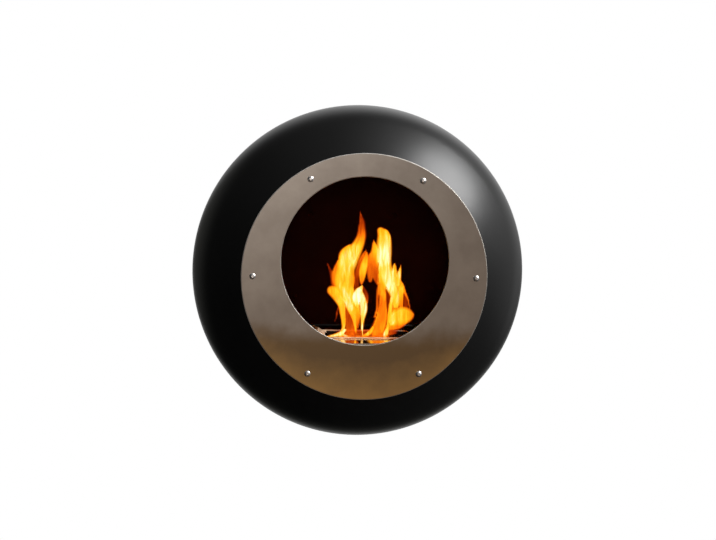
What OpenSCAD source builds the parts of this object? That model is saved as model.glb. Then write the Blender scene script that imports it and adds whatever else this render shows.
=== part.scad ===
// Wall-mounted bioethanol fireplace: a bulging round steel shell that hangs on a wall bracket,
// with a ring-shaped bezel, a hearth plate and a lift-out burner with a sliding lid.
// The origin is on the shell's axis at the wall. +Z is up and the front faces -Y.

/* [Shell] */
// Overall diameter of the shell
shell_d = 600; // [560:5:680]
// Thickness of the shell's sheet
shell_t = 1.5; // [1:0.1:2.5]
// Depth of the shell from its rear flange to its front flange
shell_depth = 267; // [257:1:282]
// Depth of the shell's rear half
rear_depth = 147; // [135:1:156]
// Gap between the wall and the rear flange
wall_gap = 10; // [8:0.5:16]
// Radius of the shoulder's arc, seen in section
shoulder_r = 105; // [98:1:112]
// Outer radius of the flat front flange
front_flat_r = 214; // [205:1:222]
// Width of the front flange
front_flange_w = 28; // [26:1:32]
// Outer radius of the flat rear flange
rear_flat_r = 167.5; // [162:0.5:174]
// Width of the rear flange
rear_flange_w = 30; // [26:1:36]
// Width of the band that joins the two halves
band_w = 24; // [16:1:36]
// Thickness of the joining band
band_t = 2; // [1:0.5:4]

/* [Bezel] */
// Thickness of the bezel
bezel_t = 3; // [2:0.5:5]
// How far the bezel reaches past the front flange
bezel_over = 2; // [1:0.5:4]
// Radius of the round window
aperture_r = 147; // [120:1:150]
// Height of the window's centre above the shell's axis
aperture_up = 28; // [20:1:30]
// Bevel on the bezel's front edges
bezel_bevel = 0.6; // [0.2:0.1:1.2]
// Distance from the bezel's edge to the screw circle
screw_inset = 20; // [18:0.5:22]
// Number of bezel screws
bezel_screws_n = 6; // [4:1:8]

/* [Screws and rivets] */
// Diameter of a bezel screw's thread
m6_d = 6; // [5:0.5:6]
// Diameter of a bezel screw's head
m6_head_d = 10.5; // [9:0.5:12]
// Height of a bezel screw's head
m6_head_h = 3.3; // [2:0.1:4]
// Length of a bezel screw below its head
m6_len = 12; // [10:1:16]
// Diameter of the deck and shield screws' thread
m5_d = 5; // [4:0.5:5]
// Diameter of the deck and shield screws' head
m5_head_d = 9.5; // [8:0.5:11]
// Height of the deck and shield screws' head
m5_head_h = 2.8; // [2:0.1:3.5]
// Diameter of a rear rivet's shank
rivet_d = 5; // [4:0.5:6]
// Number of rear rivets
rear_rivets_n = 8; // [6:1:12]

/* [Rear plate and heat shield] */
// Thickness of the rear plate
rear_plate_t = 2; // [1.5:0.5:3]
// How far the rear plate laps the rear flange
rear_lap = 18; // [16:1:20]
// Thickness of the heat shield
shield_t = 1; // [0.8:0.1:2]
// Air gap between the rear plate and the heat shield
shield_air = 11.5; // [8:0.5:14]
// Gap between the heat shield's edge and the shell
shield_edge_gap = 6; // [4:1:12]
// Distance of the shield screws' circle inside the rear flange
shield_screw_in = 14; // [12:0.5:18]
// Angle of the upper shield screws above the level
shield_up_angle = 50; // [47:1:56]
// Angle of the lower shield screws below the level
shield_low_angle = 30; // [22:1:34]
// Outer diameter of a shield spacer
spacer_d = 10; // [8:0.5:14]
// Diameter of a wall bumper
bumper_d = 25; // [18:1:30]
// Distance of the wall bumpers' circle inside the rear flange
bumper_in = 20; // [18:1:24]
// Room left between a wall bumper and the bracket when the housing is lifted
bumper_room = 3; // [2:0.5:4]

/* [Hearth deck] */
// Drop of the deck's top face below the axis
deck_drop = 116.6; // [112:0.2:122]
// Thickness of the deck
deck_t = 2; // [1.5:0.5:3]
// Gap between the deck's side edges and the shell
deck_gap = 4; // [2:0.5:6]
// Depth of the deck's folded front lip
deck_lip = 12; // [8:1:20]
// How far the folded lip stops short of the deck's ends
lip_relief = 30; // [24:1:50]
// Distance of the deck brackets in front of and behind the widest circle
bracket_off = 83; // [80:1:92]
// Width of a deck bracket
bracket_w = 30; // [22:1:32]
// Thickness of a deck bracket
bracket_t = 2.5; // [2:0.5:4]
// Height of a deck bracket's web
bracket_h = 36; // [25:1:50]
// Length of a deck bracket's top leg
bracket_leg = 45; // [35:1:50]

/* [Burner] */
// Width of the burner's mouth
mouth_w = 166; // [140:1:172]
// Depth of the burner's mouth, front to back
mouth_d = 104; // [80:1:106]
// Corner radius of the mouth
mouth_r = 8; // [3:0.5:12]
// Thickness of the burner's top plate
top_t = 1.2; // [1:0.1:2]
// How far the top plate laps the deck
top_lap = 6; // [4:0.5:8]
// Corner radius of the top plate
top_corner_r = 20; // [14:1:26]
// Gap between the top plate's parked end and the shell
side_gap = 9; // [6:0.5:14]
// Width of the raised rim round the mouth
rim_w = 1.6; // [1:0.1:3]
// Height of the raised rim
rim_h = 1; // [0.6:0.1:2]
// Thickness of the burner's sheet
sheet_t = 1.2; // [0.8:0.1:1.8]
// Depth of the fuel tank below the lid rails
tank_h = 55; // [40:1:70]
// Thickness of the mesh over the wool
mesh_t = 1; // [0.8:0.1:2]
// Diameter of the mesh's holes
mesh_hole_d = 8; // [5:0.5:10]
// Distance between the mesh's holes
mesh_pitch = 14; // [13:0.5:20]
// Height of a finger tab
tab_h = 14; // [10:1:20]
// Width of a finger tab
tab_w = 24; // [18:1:34]

/* [Sliding lid] */
// Thickness of the lid
lid_t = 1.5; // [1:0.1:2.5]
// How far the closed lid laps the mouth's edges
lid_lap = 5; // [4:0.5:7]
// Running gap above, below and at the ends of the lid
lid_run = 0.3; // [0.2:0.05:0.6]
// Gap between the lid's long edges and its rails
lid_play = 0.5; // [0.3:0.1:1]
// Width of an end stop
stop_w = 8; // [6:0.5:12]
// Width of the handle's neck and foot
neck_w = 9.5; // [8:0.5:14]
// Depth of the handle's foot, front to back
foot_d = 16; // [14:1:24]
// Height of the handle's head
handle_h = 14.5; // [12:0.5:20]
// How far the handle's head reaches past its neck
handle_reach = 18; // [16:1:26]
// Thickness of the handle
handle_t = 2; // [1.5:0.5:3]
// Diameter of the eye in the handle
eye_d = 5; // [4:0.5:6]

/* [Wall bracket] */
// Width of the wall bracket
wall_w = 200; // [180:2:220]
// Height of the wall bracket
wall_h = 140; // [132:2:160]
// Thickness of the wall bracket
wall_t = 3; // [2:0.5:4]
// Diameter of the four wall holes
wall_hole_d = 8; // [6:0.5:10]
// Sideways distance between the wall holes
wall_hole_x = 170; // [150:2:176]
// Upright distance between the wall holes
wall_hole_z = 100; // [80:2:108]
// Width of a hook
hook_w = 30; // [20:1:40]
// Sideways place of a hook
hook_x = 50; // [40:1:54]
// Height of the hooks' top faces above the axis
hook_up = 60; // [50:1:66]
// How far a hook's tab rises above its arm
hook_rise = 16; // [12:1:17]
// How far the housing lifts to come off the hooks
hang_lift = 20; // [19:1:24]

/* [Hidden] */
$fn = 96;

// Small gap between faces that are welded or pressed together
seat = 0.1;
// Radial gap of a thread in its nut or tapped hole
thread_gap = 0.05;
// Radial gap of a screw or rivet in a plain hole
hole_gap = 0.2;
// Overlap used where one shape cuts another
cut = 1;

// Section of the shell: a shoulder arc that runs on smoothly into a flatter crown arc on each side
shell_r = shell_d / 2;
shoulder_c = shell_r - shoulder_r;
// Distances from the wall along the shell's axis
front_depth = shell_depth - rear_depth;
equator_y = wall_gap + rear_depth;
front_y = wall_gap + shell_depth;
front_crown = crown(front_flat_r, front_depth);
rear_crown = crown(rear_flat_r, rear_depth);
plate_y = wall_gap + shell_t;
plate_front_y = plate_y + rear_plate_t;
shield_y = plate_front_y + shield_air;

front_hole_r = front_flat_r - front_flange_w;
rear_hole_r = rear_flat_r - rear_flange_w;
rear_plate_r = rear_hole_r + rear_lap;
rivet_circle_r = rear_hole_r + rear_lap / 2;
bezel_r = front_flat_r + bezel_over;
screw_circle_r = bezel_r - screw_inset;
shield_circle_r = rear_hole_r - shield_screw_in;
bumper_circle_r = rear_hole_r - bumper_in;
bumper_gap = 0.3;
bumper_drop = wall_h / 2 + hang_lift + bumper_room + bumper_d / 2;
bumper_x = sqrt(pow(bumper_circle_r, 2) - pow(bumper_drop, 2));

// Rivets, screws and nuts
rivet_head_r = rivet_d * 0.85;
rivet_head_h = rivet_d * 0.25;
head_edge = 0.35;
socket_share = 0.38;
m6_nut_d = 12;
m6_nut_h = 5;
m5_nut_d = 8;
m5_nut_h = 4;
m5_spare = 1;
deck_screw_tail = 4;
deck_screw_len = deck_t + bracket_t + deck_screw_tail;

// Deck
deck_z = -deck_drop;
deck_under = deck_z - deck_t;
deck_front_gap = 0.5;
deck_front_y = front_y - shell_t - deck_front_gap;
deck_rear_gap = 2;
deck_rear_y = shield_y + shield_t + deck_rear_gap;
deck_steps = 24;
shield_foot_gap = 3;
bracket_screw_in = 22;

// Burner, front to back: half sizes from the widest circle outward
lid_half = mouth_d / 2 + lid_lap;
rail_in = lid_half + lid_play;
rail_out = rail_in + sheet_t;
tank_in = rail_out + seat;
tank_out = tank_in + sheet_t;
burner_gap = 2;
cut_half = tank_out + burner_gap;
top_half = cut_half + top_lap;

// Burner, left to right
handle_gap = 1;
lid_len = mouth_w + 2 * lid_lap;
lid_travel = mouth_w - neck_w - 2 * handle_gap;
top_x0 = side_gap - chord(equator_y + top_half - top_corner_r / 2, deck_under, shell_t);
cut_x0 = top_x0 + top_lap;
rail_x0 = cut_x0 + burner_gap;
lid_x0 = rail_x0 + stop_w + lid_run;
mouth_x0 = lid_x0 + lid_travel + lid_lap;
mouth_x1 = mouth_x0 + mouth_w;
lid_x1 = lid_x0 + lid_len;
rail_x1 = mouth_x1 + lid_lap + lid_run + stop_w;
tank_x0 = mouth_x0 - 2 * lid_lap;
tank_x1 = rail_x1 + seat + sheet_t;
cut_x1 = tank_x1 + burner_gap;
top_x1 = cut_x1 + top_lap;
cut_corner_r = 5;

// Burner, heights
top_z = deck_z + top_t;
rim_z = top_z + rim_h;
lid_top_z = deck_z - lid_run;
lid_under_z = lid_top_z - lid_t;
rail_lip = lid_lap - 1;
rail_h = lid_t + 2 * lid_run + sheet_t;
rail_z = deck_z - rail_h;
tank_z = rail_z - tank_h;
mesh_drop = 2;
mesh_z = rail_z - mesh_drop;
mesh_fit = 0.3;
tab_foot = 8;

// Handle
neck_x0 = mouth_x0 + handle_gap;
neck_x1 = neck_x0 + neck_w;
handle_over_rim = 0.8;
head_z = rim_z + handle_over_rim;
head_top = head_z + handle_h;
foot_t = 1;
handle_rivet_d = 3;
handle_rivet_in = 3.5;
handle_rivet_y = foot_d / 2 - handle_rivet_in;
handle_rivet_head_h = 0.7;

// Wall bracket
wall_corner_r = 8;
hook_seat = 0.2;
hook_tab_y = plate_front_y + lid_play;
slot_side = 2;
slot_spare = 2;
slot_h = wall_t + hang_lift + slot_spare;

// Crown arc that ends at a flange: how far its centre lies beyond the widest circle, its radius,
// and the angle at which the shoulder arc runs into it
function crown(flat_r, depth) =
    let (
        slope = depth / shoulder_r,
        flange = pow(flat_r, 2) + pow(depth, 2),
        reach = (flange + pow(shoulder_r, 2) - pow(shoulder_c, 2)) / (2 * shoulder_r),
        qa = pow(slope, 2) - 1,
        qb = 2 * slope * (reach - shoulder_r),
        qc = pow(reach - shoulder_r, 2) - pow(shoulder_c, 2),
        beyond = -2 * qc / (qb + sqrt(pow(qb, 2) - 4 * qa * qc))
    )
    [beyond, reach + slope * beyond, atan(beyond / shoulder_c)];

// Radius of the shell's section at a distance from the wall, inset from the outer face
function outline_r(y, inset) = arc_r(abs(y - equator_y), inset, y > equator_y ? front_crown : rear_crown);
function arc_r(off, inset, crown) =
    off <= (shoulder_r - inset) * sin(crown[2])
        ? shoulder_c + sqrt(pow(shoulder_r - inset, 2) - pow(off, 2))
        : sqrt(pow(crown[1] - inset, 2) - pow(off + crown[0], 2));

// Half width of the shell's inside at a distance from the wall and a height
function chord(y, z, inset) = sqrt(pow(outline_r(y, inset), 2) - pow(z, 2));
function deck_half(y) = chord(y, deck_under, shell_t + deck_gap);

// Puts a shape that is drawn lying flat against a plane at distance y from the wall,
// with its thickness growing towards the front
module facing(y) {
    translate([0, -y, 0])
        rotate([90, 0, 0])
            children();
}

module at_each(points) {
    for (p = points)
        translate([p[0], p[1], 0])
            children();
}

module both_sides() {
    children();
    mirror([1, 0, 0])
        children();
}

// Box from x0 to x1, from distance y0 to y1 off the wall and from z0 to z1
module slab(x0, x1, y0, y1, z0, z1) {
    translate([x0, -y1, z0])
        cube([x1 - x0, y1 - y0, z1 - z0]);
}

module rounded(x0, x1, y0, y1, r) {
    translate([x0 + r, y0])
        square([x1 - x0 - 2 * r, y1 - y0]);
    translate([x0, y0 + r])
        square([x1 - x0, y1 - y0 - 2 * r]);
    for (x = [x0 + r, x1 - r], y = [y0 + r, y1 - r])
        translate([x, y])
            circle(r);
}

// Rounded plate that lies flat, centred on the widest circle, from height z0 to z1
module lying(x0, x1, half, r, z0, z1) {
    translate([0, -equator_y, z0])
        linear_extrude(z1 - z0)
            rounded(x0, x1, -half, half, r);
}

module ring(r, places, height) {
    for (k = [0 : places - 1])
        rotate([0, 0, k * 360 / places])
            translate([r, 0, height])
                children();
}

// Domed head that stands on z = 0
module dome(r, h) {
    edge = h * head_edge;
    rise = h - edge;
    dome_r = (pow(r, 2) + pow(rise, 2)) / (2 * rise);
    rotate_extrude()
        intersection() {
            translate([0, h - dome_r])
                circle(dome_r);
            square([r, h]);
        }
}

// Button-head screw: the head stands on z = 0 and the thread runs down
module button_screw(d, head_d, head_h, len) {
    difference() {
        union() {
            dome(head_d / 2, head_h);
            translate([0, 0, -len])
                cylinder(h = len + head_h / 4, d = d - 2 * thread_gap);
        }
        translate([0, 0, head_h * 0.4])
            cylinder(h = head_h, d = head_d * socket_share / cos(30), $fn = 6);
    }
}

module nut(d, across, h) {
    difference() {
        cylinder(h = h, d = across / cos(30), $fn = 6);
        translate([0, 0, -cut])
            cylinder(h = h + 2 * cut, d = d);
    }
}

// Filled half of the shell's section, from the widest circle upward
module half_oval(inset, crown) {
    blend_r = shoulder_c + (shoulder_r - inset) * cos(crown[2]);
    intersection() {
        translate([0, -crown[0]])
            circle(crown[1] - inset);
        square([blend_r, shell_r]);
    }
    intersection() {
        translate([shoulder_c, 0])
            circle(shoulder_r - inset);
        translate([blend_r, 0])
            square([shell_r, shell_r]);
    }
}

// Solid inside of the shell, drawn in place and finely, because small pieces end on it
module shell_inside(inset) {
    facing(equator_y)
        rotate_extrude($fn = 720) {
            half_oval(inset, front_crown, $fn = 360);
            mirror([0, 1])
                half_oval(inset, rear_crown, $fn = 360);
        }
}

// Half shell that stands on its widest circle, with a flange that turns in at the far end
module half_shell(depth, crown, hole_r) {
    rotate_extrude() {
        intersection() {
            difference() {
                half_oval(0, crown);
                half_oval(shell_t, crown);
            }
            square([shell_d, depth]);
        }
        intersection() {
            half_oval(0, crown);
            translate([hole_r, depth - shell_t])
                square([shell_d, shell_t]);
        }
    }
}

module front_shell() {
    color([0.09, 0.09, 0.09])
        facing(equator_y)
            difference() {
                half_shell(front_depth, front_crown, front_hole_r);
                ring(screw_circle_r, bezel_screws_n, front_depth - shell_t - cut)
                    cylinder(h = shell_t + 2 * cut, d = m6_d + 2 * hole_gap);
            }
}

module rear_shell() {
    color([0.09, 0.09, 0.09])
        facing(equator_y)
            difference() {
                mirror([0, 0, 1])
                    half_shell(rear_depth, rear_crown, rear_hole_r);
                ring(rivet_circle_r, rear_rivets_n, -rear_depth - cut)
                    cylinder(h = shell_t + 2 * cut, d = rivet_d + 2 * hole_gap);
            }
}

module shell_joint_band() {
    color([0.3, 0.3, 0.3])
        facing(equator_y)
            rotate_extrude()
                intersection() {
                    translate([shoulder_c, 0])
                        difference() {
                            circle(shoulder_r - shell_t - seat);
                            circle(shoulder_r - shell_t - seat - band_t);
                        }
                    translate([shoulder_c, -band_w / 2])
                        square([shell_r, band_w]);
                }
}

module bezel() {
    color([0.55, 0.52, 0.49])
        facing(front_y)
            difference() {
                rotate_extrude()
                    polygon([
                        [0, 0], [bezel_r, 0], [bezel_r, bezel_t - bezel_bevel],
                        [bezel_r - bezel_bevel, bezel_t], [0, bezel_t]
                    ]);
                translate([0, aperture_up, -cut])
                    cylinder(h = bezel_t + 2 * cut, r = aperture_r);
                translate([0, aperture_up, bezel_t - bezel_bevel])
                    cylinder(h = bezel_bevel + cut, r1 = aperture_r, r2 = aperture_r + bezel_bevel + cut);
                ring(screw_circle_r, bezel_screws_n, -cut)
                    cylinder(h = bezel_t + 2 * cut, d = m6_d + 2 * hole_gap);
            }
}

module bezel_screws() {
    color([0.75, 0.75, 0.75])
        facing(front_y + bezel_t)
            ring(screw_circle_r, bezel_screws_n, 0)
                button_screw(m6_d, m6_head_d, m6_head_h, m6_len);
}

module bezel_nuts() {
    color([0.6, 0.6, 0.6])
        facing(front_y - shell_t - m6_nut_h)
            ring(screw_circle_r, bezel_screws_n, 0)
                nut(m6_d, m6_nut_d, m6_nut_h);
}

module rear_plate() {
    color([0.25, 0.25, 0.25])
        facing(plate_y)
            difference() {
                cylinder(h = rear_plate_t, r = rear_plate_r);
                ring(rivet_circle_r, rear_rivets_n, -cut)
                    cylinder(h = rear_plate_t + 2 * cut, d = rivet_d + 2 * hole_gap);
                at_each(shield_places())
                    translate([0, 0, -cut])
                        cylinder(h = rear_plate_t + 2 * cut, d = m5_d + 2 * hole_gap);
                both_sides()
                    translate([hook_x - hook_w / 2 - slot_side, hook_up + hook_seat - slot_h, -cut])
                        cube([hook_w + 2 * slot_side, slot_h, rear_plate_t + 2 * cut]);
            }
}

module rear_plate_rivets() {
    grip = shell_t + rear_plate_t;
    color([0.6, 0.6, 0.6])
        facing(wall_gap)
            ring(rivet_circle_r, rear_rivets_n, 0) {
                cylinder(h = grip, d = rivet_d);
                translate([0, 0, grip])
                    dome(rivet_head_r, rivet_head_h);
                mirror([0, 0, 1])
                    dome(rivet_head_r, rivet_head_h);
            }
}

module wall_bumpers() {
    color([0.05, 0.05, 0.05])
        facing(bumper_gap)
            both_sides()
                translate([bumper_x, -bumper_drop, 0])
                    cylinder(h = plate_y - bumper_gap, d = bumper_d);
}

function shield_places() = [
    for (s = [-1, 1], a = [shield_up_angle, -shield_low_angle])
        [s * shield_circle_r * cos(a), shield_circle_r * sin(a)]
];

module heat_shield() {
    shield_r = outline_r(shield_y, shell_t) - shield_edge_gap;
    foot_z = deck_z + shield_foot_gap;
    color([0.06, 0.06, 0.06])
        facing(shield_y)
            difference() {
                intersection() {
                    cylinder(h = shield_t, r = shield_r);
                    translate([-shield_r, foot_z, 0])
                        cube([2 * shield_r, shield_r - foot_z, shield_t]);
                }
                at_each(shield_places())
                    translate([0, 0, -cut])
                        cylinder(h = shield_t + 2 * cut, d = m5_d + 2 * hole_gap);
            }
}

module shield_spacers() {
    color([0.5, 0.5, 0.5])
        facing(plate_front_y)
            at_each(shield_places())
                difference() {
                    cylinder(h = shield_air, d = spacer_d);
                    translate([0, 0, -cut])
                        cylinder(h = shield_air + 2 * cut, d = m5_d + 2 * hole_gap);
                }
}

module shield_screws() {
    grip = shield_t + shield_air + rear_plate_t;
    color([0.1, 0.1, 0.1])
        facing(shield_y + shield_t)
            at_each(shield_places())
                button_screw(m5_d, m5_head_d, m5_head_h, grip + m5_nut_h + m5_spare);
}

module shield_nuts() {
    color([0.6, 0.6, 0.6])
        facing(plate_y - m5_nut_h)
            at_each(shield_places())
                nut(m5_d, m5_nut_d, m5_nut_h);
}

// Places of the deck screws, as x and distance from the wall
function bracket_x(y) = deck_half(y) - bracket_screw_in;
function deck_screw_places() = [
    for (s = [-1, 1], y = [equator_y - bracket_off, equator_y + bracket_off]) [s * bracket_x(y), -y]
];

module deck() {
    span = deck_front_y - deck_rear_y;
    ys = [for (i = [0 : deck_steps]) deck_rear_y + span * i / deck_steps];
    right = [for (y = ys) [deck_half(y), -y]];
    left = [for (i = [deck_steps : -1 : 0]) [-deck_half(ys[i]), -ys[i]]];
    lip_half = deck_half(deck_front_y) - lip_relief;
    color([0.7, 0.7, 0.7]) {
        difference() {
            translate([0, 0, deck_under])
                linear_extrude(deck_t)
                    polygon(concat(right, left));
            lying(cut_x0, cut_x1, cut_half, cut_corner_r, deck_under - cut, deck_z + cut);
            at_each(deck_screw_places())
                translate([0, 0, deck_under - cut])
                    cylinder(h = deck_t + 2 * cut, d = m5_d + 2 * hole_gap);
        }
        slab(-lip_half, lip_half, deck_front_y - deck_t, deck_front_y, deck_z - deck_lip, deck_z);
    }
}

// Angle bracket at distance y from the wall, with its web on the side away from the burner
module deck_bracket(y) {
    side = sign(y - equator_y);
    web_y = y + side * (bracket_w - bracket_t) / 2;
    top = deck_under;
    x0 = deck_half(y) - bracket_leg;
    difference() {
        intersection() {
            union() {
                slab(x0, shell_r, y - bracket_w / 2, y + bracket_w / 2, top - bracket_t, top);
                slab(x0, shell_r, web_y - bracket_t / 2, web_y + bracket_t / 2, top - bracket_h, top);
            }
            shell_inside(shell_t + seat);
        }
        translate([bracket_x(y), -y, top - bracket_t - cut])
            cylinder(h = bracket_t + 2 * cut, d = m5_d);
    }
}

module deck_brackets() {
    color([0.3, 0.3, 0.3])
        both_sides() {
            deck_bracket(equator_y - bracket_off);
            deck_bracket(equator_y + bracket_off);
        }
}

module deck_screws() {
    color([0.75, 0.75, 0.75])
        at_each(deck_screw_places())
            translate([0, 0, deck_z])
                button_screw(m5_d, m5_head_d, m5_head_h, deck_screw_len);
}

module burner_top() {
    color([0.75, 0.74, 0.72])
        difference() {
            union() {
                lying(top_x0, top_x1, top_half, top_corner_r, deck_z, top_z);
                lying(
                    mouth_x0 - rim_w, mouth_x1 + rim_w, mouth_d / 2 + rim_w, mouth_r + rim_w,
                    deck_z, rim_z
                );
            }
            lying(mouth_x0, mouth_x1, mouth_d / 2, mouth_r, deck_z - cut, rim_z + cut);
        }
}

module burner_tank() {
    inner_x0 = tank_x0 + sheet_t;
    inner_x1 = tank_x1 - sheet_t;
    color([0.6, 0.6, 0.6])
        difference() {
            slab(tank_x0, tank_x1, equator_y - tank_out, equator_y + tank_out, tank_z, deck_z);
            slab(
                inner_x0, inner_x1, equator_y - tank_in, equator_y + tank_in,
                tank_z + sheet_t, deck_z + cut
            );
            slab(
                tank_x0 - cut, inner_x0 + cut, equator_y - tank_out - cut,
                equator_y + tank_out + cut, rail_z - seat, deck_z + cut
            );
        }
}

module ceramic_wool() {
    color([0.93, 0.92, 0.88])
        slab(
            tank_x0 + sheet_t + mesh_fit, tank_x1 - sheet_t - mesh_fit,
            equator_y - tank_in + mesh_fit, equator_y + tank_in - mesh_fit,
            tank_z + sheet_t, mesh_z - mesh_t
        );
}

module burner_mesh() {
    columns = floor((mouth_w - mesh_hole_d) / mesh_pitch);
    rows = floor((mouth_d - mesh_hole_d) / mesh_pitch);
    middle_x = (mouth_x0 + mouth_x1) / 2;
    color([0.5, 0.5, 0.5])
        difference() {
            slab(
                tank_x0 + sheet_t + mesh_fit, tank_x1 - sheet_t - mesh_fit,
                equator_y - tank_in + mesh_fit, equator_y + tank_in - mesh_fit,
                mesh_z - mesh_t, mesh_z
            );
            for (i = [0 : columns], j = [0 : rows])
                translate([
                    middle_x + (i - columns / 2) * mesh_pitch,
                    (j - rows / 2) * mesh_pitch - equator_y,
                    mesh_z - mesh_t - cut
                ])
                    cylinder(h = mesh_t + 2 * cut, d = mesh_hole_d, $fn = 24);
        }
}

// Rail with its wall on the far side from the lid and a lip under the lid's edge
module lid_rail(side) {
    wall_y = [equator_y + side * rail_in, equator_y + side * rail_out];
    lip_y = [equator_y + side * (rail_in - lid_play - rail_lip), wall_y[1]];
    color([0.6, 0.6, 0.6]) {
        slab(rail_x0, rail_x1, min(wall_y), max(wall_y), rail_z, deck_z);
        slab(rail_x0, rail_x1, min(lip_y), max(lip_y), rail_z, rail_z + sheet_t);
    }
}

module lid_rail_front() {
    lid_rail(1);
}

module lid_rail_rear() {
    lid_rail(-1);
}

module lid_stops() {
    half = rail_in - seat;
    stop_z = rail_z + sheet_t + seat;
    color([0.6, 0.6, 0.6])
        for (x = [rail_x0, rail_x1 - stop_w])
            slab(x, x + stop_w, equator_y - half, equator_y + half, stop_z, deck_z);
}

module lift_tabs() {
    ends = [[top_x0 + top_t, 1], [top_x1 - top_t, -1]];
    color([0.6, 0.6, 0.6])
        for (e = ends) {
            foot = [e[0], e[0] + e[1] * tab_foot];
            wall = [e[0], e[0] + e[1] * top_t];
            y0 = equator_y - tab_w / 2;
            y1 = equator_y + tab_w / 2;
            slab(min(foot), max(foot), y0, y1, top_z, top_z + top_t);
            slab(min(wall), max(wall), y0, y1, top_z, top_z + tab_h);
        }
}

// Places of the handle's two rivets
function handle_rivet_places() = [
    for (s = [-1, 1]) [(neck_x0 + neck_x1) / 2, s * handle_rivet_y - equator_y]
];

module sliding_lid() {
    color([0.7, 0.7, 0.7])
        difference() {
            slab(lid_x0, lid_x1, equator_y - lid_half, equator_y + lid_half, lid_under_z, lid_top_z);
            at_each(handle_rivet_places())
                translate([0, 0, lid_under_z - cut])
                    cylinder(h = lid_t + 2 * cut, d = handle_rivet_d + 2 * thread_gap);
        }
}

module lid_handle() {
    tip = [neck_x0 - handle_reach, neck_x0 - handle_reach * 0.6];
    color([0.75, 0.74, 0.72])
        difference() {
            union() {
                slab(
                    neck_x0, neck_x1, equator_y - foot_d / 2, equator_y + foot_d / 2,
                    lid_top_z, lid_top_z + foot_t
                );
                facing(equator_y - handle_t / 2)
                    linear_extrude(handle_t)
                        polygon([
                            [neck_x0, lid_top_z], [neck_x1, lid_top_z],
                            [neck_x1, head_z + handle_h * 0.2], [tip[1], head_top],
                            [tip[0], head_top - handle_h * 0.15], [tip[0], head_z + handle_h * 0.1],
                            [tip[0] + handle_h * 0.1, head_z], [neck_x0, head_z]
                        ]);
            }
            translate([neck_x0 - handle_reach * 0.55, -equator_y, head_z + handle_h * 0.45])
                rotate([90, 0, 0])
                    cylinder(h = handle_t + 2 * cut, d = eye_d, center = true);
            at_each(handle_rivet_places())
                translate([0, 0, lid_top_z - cut])
                    cylinder(h = foot_t + 2 * cut, d = handle_rivet_d + 2 * thread_gap);
        }
}

module lid_handle_rivets() {
    grip = lid_t + foot_t;
    head_r = handle_rivet_d * 0.75;
    color([0.6, 0.6, 0.6])
        at_each(handle_rivet_places())
            translate([0, 0, lid_under_z]) {
                cylinder(h = grip, d = handle_rivet_d);
                translate([0, 0, grip])
                    dome(head_r, handle_rivet_head_h);
                mirror([0, 0, 1])
                    dome(head_r, handle_rivet_head_h);
            }
}

module wall_bracket() {
    arm_z = hook_up - wall_t;
    color([0.2, 0.2, 0.2]) {
        facing(0)
            difference() {
                linear_extrude(wall_t)
                    rounded(
                        -wall_w / 2, wall_w / 2, -wall_h / 2, wall_h / 2, wall_corner_r
                    );
                for (x = [-0.5, 0.5], z = [-0.5, 0.5])
                    translate([x * wall_hole_x, z * wall_hole_z, -cut])
                        cylinder(h = wall_t + 2 * cut, d = wall_hole_d);
            }
        both_sides() {
            slab(hook_x - hook_w / 2, hook_x + hook_w / 2, 0, hook_tab_y + wall_t, arm_z, hook_up);
            slab(
                hook_x - hook_w / 2, hook_x + hook_w / 2, hook_tab_y, hook_tab_y + wall_t,
                arm_z, hook_up + hook_rise
            );
        }
    }
}

wall_bracket();
front_shell();
rear_shell();
shell_joint_band();
bezel();
bezel_screws();
bezel_nuts();
rear_plate();
rear_plate_rivets();
wall_bumpers();
heat_shield();
shield_spacers();
shield_screws();
shield_nuts();
deck();
deck_brackets();
deck_screws();
burner_top();
burner_tank();
ceramic_wool();
burner_mesh();
lid_rail_front();
lid_rail_rear();
lid_stops();
lift_tabs();
sliding_lid();
lid_handle();
lid_handle_rivets();
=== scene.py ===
"""Looks of a wall-mounted bioethanol fireplace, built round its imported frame."""

import math

import bmesh
import bpy
import numpy as np
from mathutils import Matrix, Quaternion, Vector


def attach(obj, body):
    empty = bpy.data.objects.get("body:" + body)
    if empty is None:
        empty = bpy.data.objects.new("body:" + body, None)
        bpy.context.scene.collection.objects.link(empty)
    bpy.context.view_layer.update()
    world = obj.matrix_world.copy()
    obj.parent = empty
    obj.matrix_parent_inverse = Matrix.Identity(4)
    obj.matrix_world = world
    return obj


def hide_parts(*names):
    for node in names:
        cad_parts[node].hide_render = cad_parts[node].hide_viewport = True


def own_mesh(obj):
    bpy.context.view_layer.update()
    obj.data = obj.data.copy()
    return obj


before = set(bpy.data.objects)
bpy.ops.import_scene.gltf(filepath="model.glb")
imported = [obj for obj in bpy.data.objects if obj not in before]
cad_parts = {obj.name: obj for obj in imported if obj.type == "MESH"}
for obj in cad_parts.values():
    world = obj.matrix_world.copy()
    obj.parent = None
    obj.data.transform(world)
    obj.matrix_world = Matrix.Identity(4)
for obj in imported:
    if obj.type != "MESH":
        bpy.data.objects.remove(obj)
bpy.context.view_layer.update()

MM = 0.001

# Camera: it stands a little to the left of the object and above it
VIEW_AZIMUTH = -5.575
VIEW_ELEVATION = 5.136
VIEW_ROLL = 1.11
VIEW_DISTANCE = 3.0
VIEW_LENS = 83.035
VIEW_SENSOR = 36.0
VIEW_CLIP = (0.05, 50)
VIEW_TARGET = Vector((-0.0006, -0.157, 0.0017))

# Section of the shell, in metres, with distances counted from the wall
SHELL_R = 0.300
SHELL_T = 0.0015
SHELL_EDGE = 0.0004
SHOULDER_R = 0.105
SHOULDER_C = SHELL_R - SHOULDER_R
EQUATOR_Y = 0.157
FRONT_Y = 0.277
WALL_GAP = 0.010
FRONT_FLAT_R = 0.214
FRONT_HOLE_R = 0.186
REAR_FLAT_R = 0.1675
REAR_HOLE_R = 0.1375
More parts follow.
